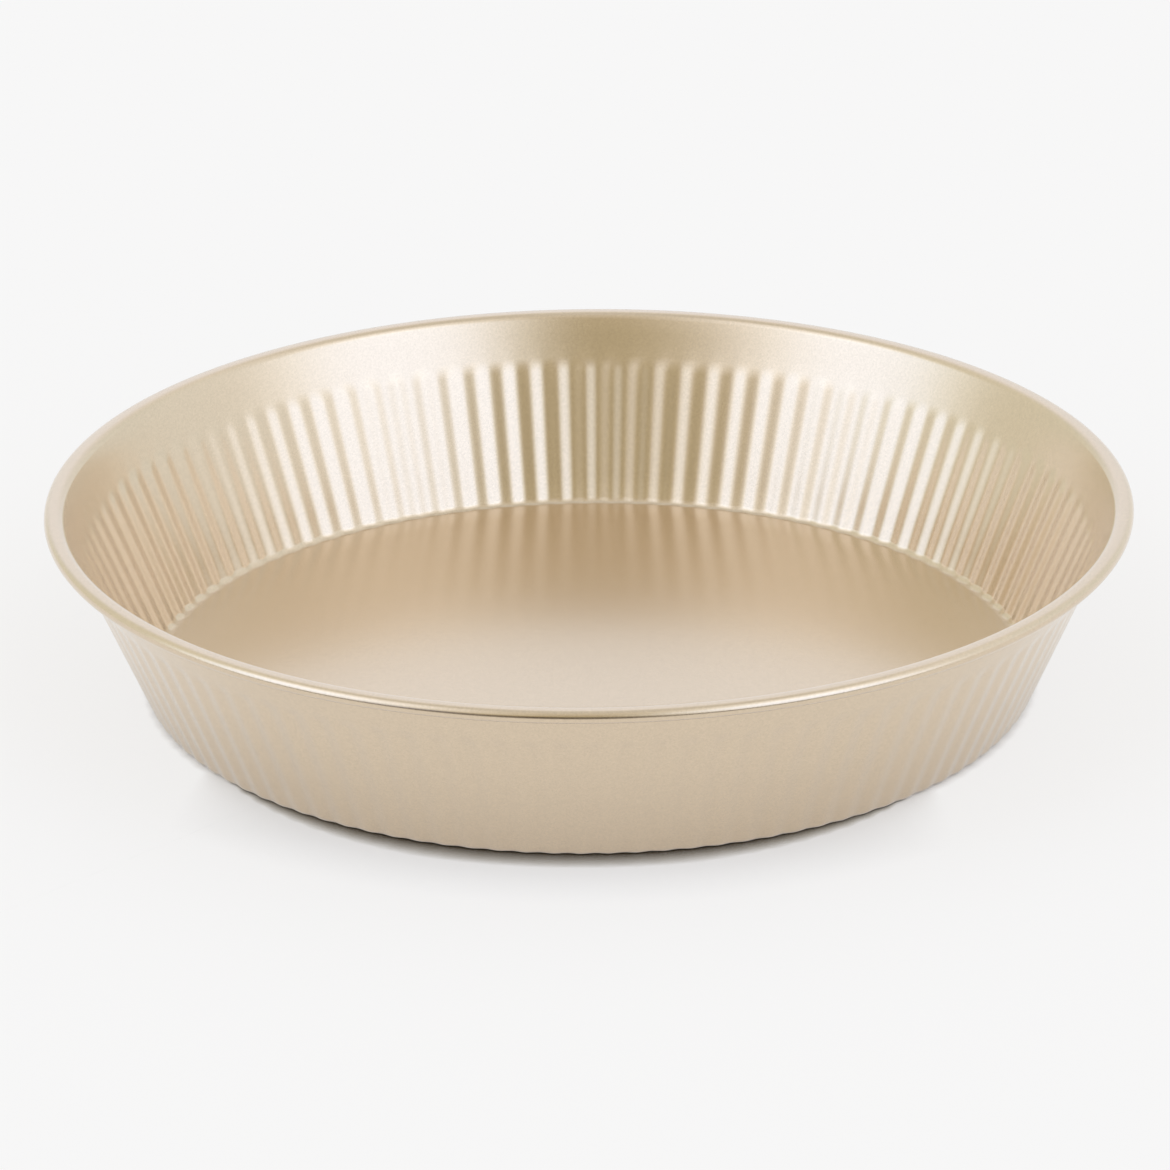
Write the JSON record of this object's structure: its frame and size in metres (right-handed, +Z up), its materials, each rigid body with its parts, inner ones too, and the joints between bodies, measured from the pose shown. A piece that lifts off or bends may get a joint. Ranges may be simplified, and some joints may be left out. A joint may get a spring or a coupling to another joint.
{
  "type": "quiche pan",
  "caption": "Round deep quiche pan with a fluted flared wall, a rolled rim and a loose flat base that lifts out, in champagne-gold non-stick coated steel.",
  "frame": {"origin": "on the pan's axis, at the surface that the pan stands on", "axes": "+Z up along the pan's axis; +X and +Y are any two directions across the round rim, and -Y faces the picture's camera"},
  "size_m": [0.28, 0.2798, 0.049],
  "materials": {
    "nonstick_coating": "satin champagne-gold metallic non-stick coating on pressed steel"
  },
  "bodies": {
    "ring": {"fluted_ring": "nonstick_coating"},
    "base": {"loose_base": "nonstick_coating"}
  },
  "joints": [
    {"name": "base_lift", "type": "slide", "parent": "ring", "child": "base", "axis": [0, 0, 1], "range_m": [0, 0.06]}
  ]
}
